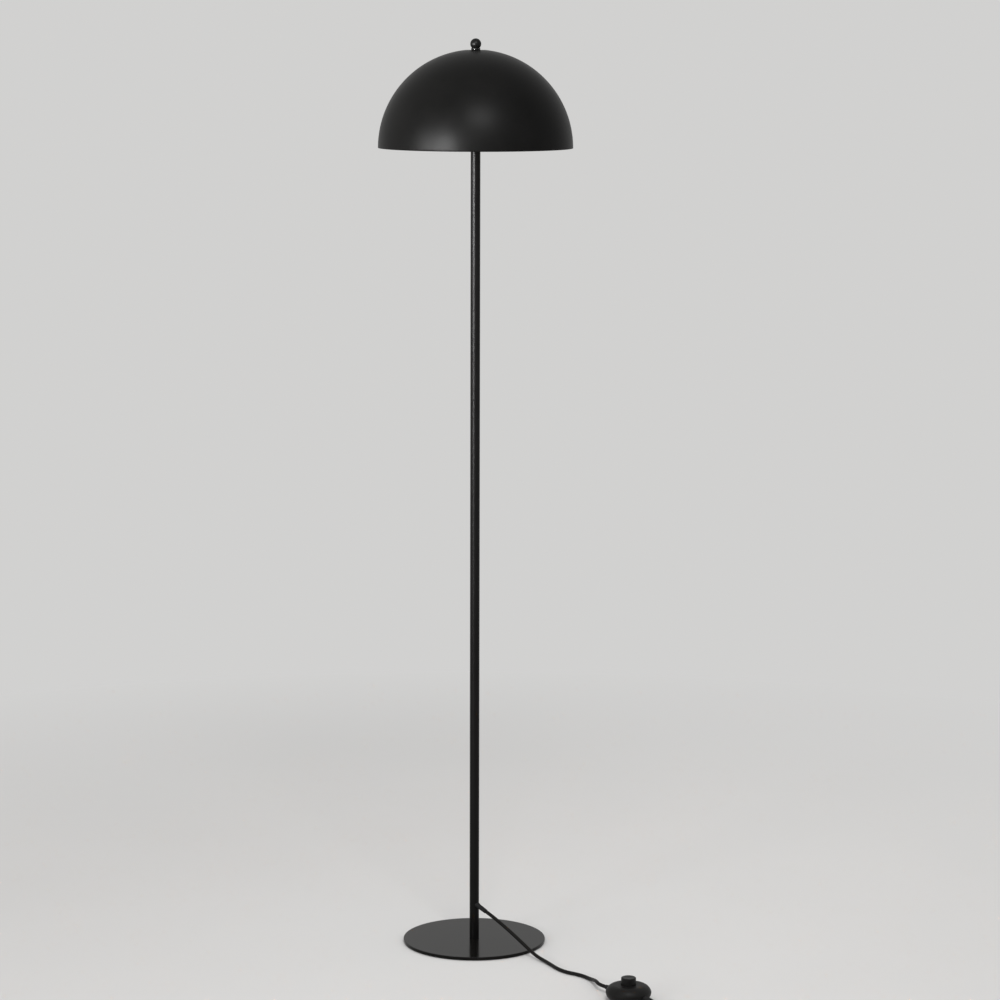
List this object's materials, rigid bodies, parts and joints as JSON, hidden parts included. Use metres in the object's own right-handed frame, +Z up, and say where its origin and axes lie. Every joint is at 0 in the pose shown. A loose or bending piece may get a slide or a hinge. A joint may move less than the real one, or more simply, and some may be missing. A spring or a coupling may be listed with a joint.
{
  "type": "mushroom floor lamp",
  "caption": "Floor lamp: a hemispherical metal shade on a slim tube that stands on a round steel disc, with a foot switch on its lead.",
  "frame": {"origin": "middle of the underside of the base, on the floor", "axes": "+Z up along the pole, -Y towards someone who faces the lamp, +X to their right; the lead runs out at front right"},
  "size_m": [0.4954, 0.6563, 1.5183],
  "materials": {
    "shade_paint": "satin black powder coat",
    "pole_paint": "satin black powder coat",
    "base_paint": "smoother black powder coat that mirrors softly",
    "finial_paint": "satin black powder coat",
    "foam": "matte foam",
    "zinc_steel": "zinc plated",
    "soft_black": "soft moulded, matte",
    "lead_sheath": "smooth flexible sheath",
    "holder_plastic": "moulded",
    "insulator": "moulded phenolic",
    "brass": "bright",
    "core_wires": "smooth insulation",
    "bulb_metal": "bright pressed",
    "bulb_clear": "clear",
    "stem_glass": "clear",
    "filament": "glowing",
    "support_wire": "drawn wire",
    "switch_plastic": "fine moulded texture",
    "button_plastic": "smooth moulded",
    "rubber_feet": "matte",
    "strap": "woven strap",
    "plug_plastic": "moulded",
    "pin_metal": "nickel plated",
    "sleeve_plastic": "moulded"
  },
  "bodies": {
    "stand": {"base_pad": "foam", "base_plate": "base_paint", "base_screw": "zinc_steel", "bulb_cap": "bulb_metal", "bulb_filaments": "filament", "bulb_glass": "bulb_clear", "bulb_insulator": "insulator", "bulb_stem": "stem_glass", "bulb_support": "support_wire", "bulb_tip": "brass", "cable_gland": "soft_black", "case_screws": "zinc_steel", "clamp_screws": "zinc_steel", "coil_tie": "strap", "cord_coil": "lead_sheath", "cord_lower": "lead_sheath", "cord_tail": "lead_sheath", "cord_upper": "lead_sheath", "harp": "zinc_steel", "harp_saddle": "zinc_steel", "harp_stud": "zinc_steel", "holder_body": "holder_plastic", "holder_cap": "holder_plastic", "holder_contacts": "brass", "holder_core": "insulator", "holder_terminal_screws": "brass", "holder_thread_shell": "brass", "holder_wires": "core_wires", "inner_cable": "lead_sheath", "plug_body": "plug_plastic", "plug_pin_sleeves": "sleeve_plastic", "plug_pins": "pin_metal", "pole_foot_insert": "zinc_steel", "pole_lower": "pole_paint", "pole_middle": "pole_paint", "pole_sockets": "zinc_steel", "pole_studs": "zinc_steel", "pole_top_bush": "zinc_steel", "pole_upper": "pole_paint", "saddle_nut": "zinc_steel", "shade": "shade_paint", "shade_washer": "zinc_steel", "switch_block": "insulator", "switch_contacts": "brass", "switch_cord_clamps": "insulator", "switch_feet": "rubber_feet", "switch_lower_case": "switch_plastic", "switch_reliefs": "soft_black", "switch_sheaths": "lead_sheath", "switch_spring": "zinc_steel", "switch_terminal_screws": "brass", "switch_upper_case": "switch_plastic", "switch_wires": "core_wires", "top_nipple": "zinc_steel"},
    "washer": {"finial_washer": "finial_paint"},
    "finial": {"finial": "finial_paint"},
    "foot_button": {"switch_button": "button_plastic", "switch_plunger": "button_plastic"},
    "ratchet": {"switch_rotor": "insulator", "switch_contact_bar": "brass"}
  },
  "joints": [
    {"name": "finial_lift", "type": "slide", "parent": "stand", "child": "washer", "axis": [0, 0, 1], "range_m": [0, 0.008]},
    {"name": "finial_turn", "type": "hinge", "parent": "washer", "child": "finial", "pos_m": [0, 0, 1.505], "axis": [0, 0, 1], "range_deg": [0, 2880]},
    {"name": "button_press", "type": "slide", "parent": "stand", "child": "foot_button", "axis": [0, 0, -1], "range_m": [0, 0.0035], "stiffness_N_per_m": 1500, "springref_m": -0.002, "deforming": ["switch_spring"]},
    {"name": "ratchet_turn", "type": "hinge", "parent": "stand", "child": "ratchet", "pos_m": [0.249, -0.3355, 0.006], "axis": [0, 0, 1], "range_deg": [0, 45]}
  ],
  "couplings": [
    {"joint": "finial_turn", "follows": "finial_lift", "rad_per_m": 6283.2},
    {"joint": "ratchet_turn", "follows": "button_press", "rad_per_m": 224.39}
  ]
}
